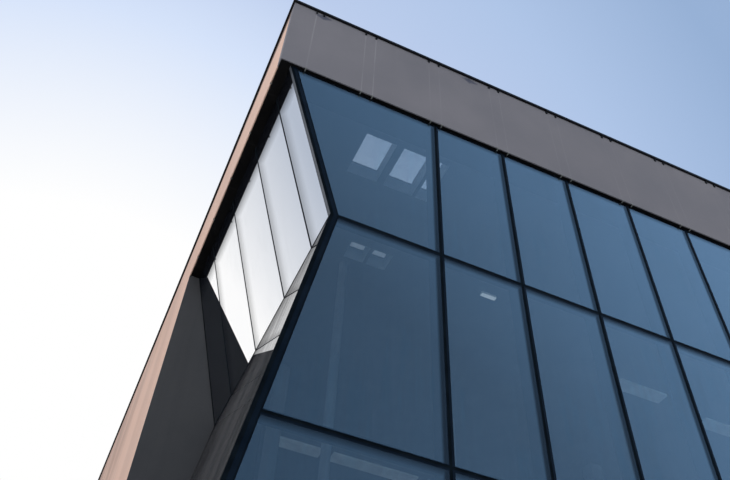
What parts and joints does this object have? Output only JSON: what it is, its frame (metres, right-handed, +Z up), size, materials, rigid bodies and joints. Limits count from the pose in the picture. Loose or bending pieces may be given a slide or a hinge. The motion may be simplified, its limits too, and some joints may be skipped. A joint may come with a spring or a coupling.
{
  "type": "theatre building",
  "caption": "Flat-roofed theatre building with a concrete band over tall recessed glazing, its glass corners leaning in to a waist and out again.",
  "frame": {"origin": "on the ground, at the middle of the building's footprint", "axes": "+X to the right along the entrance front, +Y towards the back, +Z up; the front faces -Y"},
  "size_m": [21.596, 22.59, 17.265],
  "materials": {
    "front_concrete": "matte",
    "side_concrete": "matte",
    "inner_concrete": "matte",
    "black_metal": "satin",
    "soffit_panel": "satin",
    "charcoal_panel": "matte",
    "dark_bars": "satin",
    "front_glass": "clear",
    "side_glass": "clear",
    "roof_glass": "clear",
    "light_panel": "matte",
    "column_paint": "satin"
  },
  "bodies": {
    "root": {"front_fascia": "front_concrete", "back_fascia": "front_concrete", "back_wall_left": "front_concrete", "back_wall_right": "front_concrete", "left_fascia": "side_concrete", "right_fascia": "side_concrete", "left_wall": "side_concrete", "right_wall": "side_concrete", "ground_slab": "inner_concrete", "upper_floors": "inner_concrete", "roof_slab": "inner_concrete", "front_beam": "inner_concrete", "left_beam": "inner_concrete", "right_beam": "inner_concrete", "front_coping": "black_metal", "back_coping": "black_metal", "left_coping": "black_metal", "right_coping": "black_metal", "front_soffit": "soffit_panel", "left_soffit": "soffit_panel", "right_soffit": "soffit_panel", "left_reveal": "charcoal_panel", "right_reveal": "charcoal_panel", "front_frame": "dark_bars", "left_corner_post": "dark_bars", "right_corner_post": "dark_bars", "left_side_frame": "dark_bars", "right_side_frame": "dark_bars", "back_frame": "dark_bars", "entrance_doors": "dark_bars", "front_glass_ground": "front_glass", "front_glass_lower": "front_glass", "front_glass_middle": "front_glass", "front_glass_upper": "front_glass", "back_glass": "front_glass", "entrance_glass": "front_glass", "left_glass_ground": "side_glass", "left_glass_lower": "side_glass", "left_glass_upper": "side_glass", "right_glass_ground": "side_glass", "right_glass_lower": "side_glass", "right_glass_upper": "side_glass", "rooflights": "roof_glass", "ceiling_lights": "light_panel", "columns": "column_paint"}
  },
  "joints": []
}
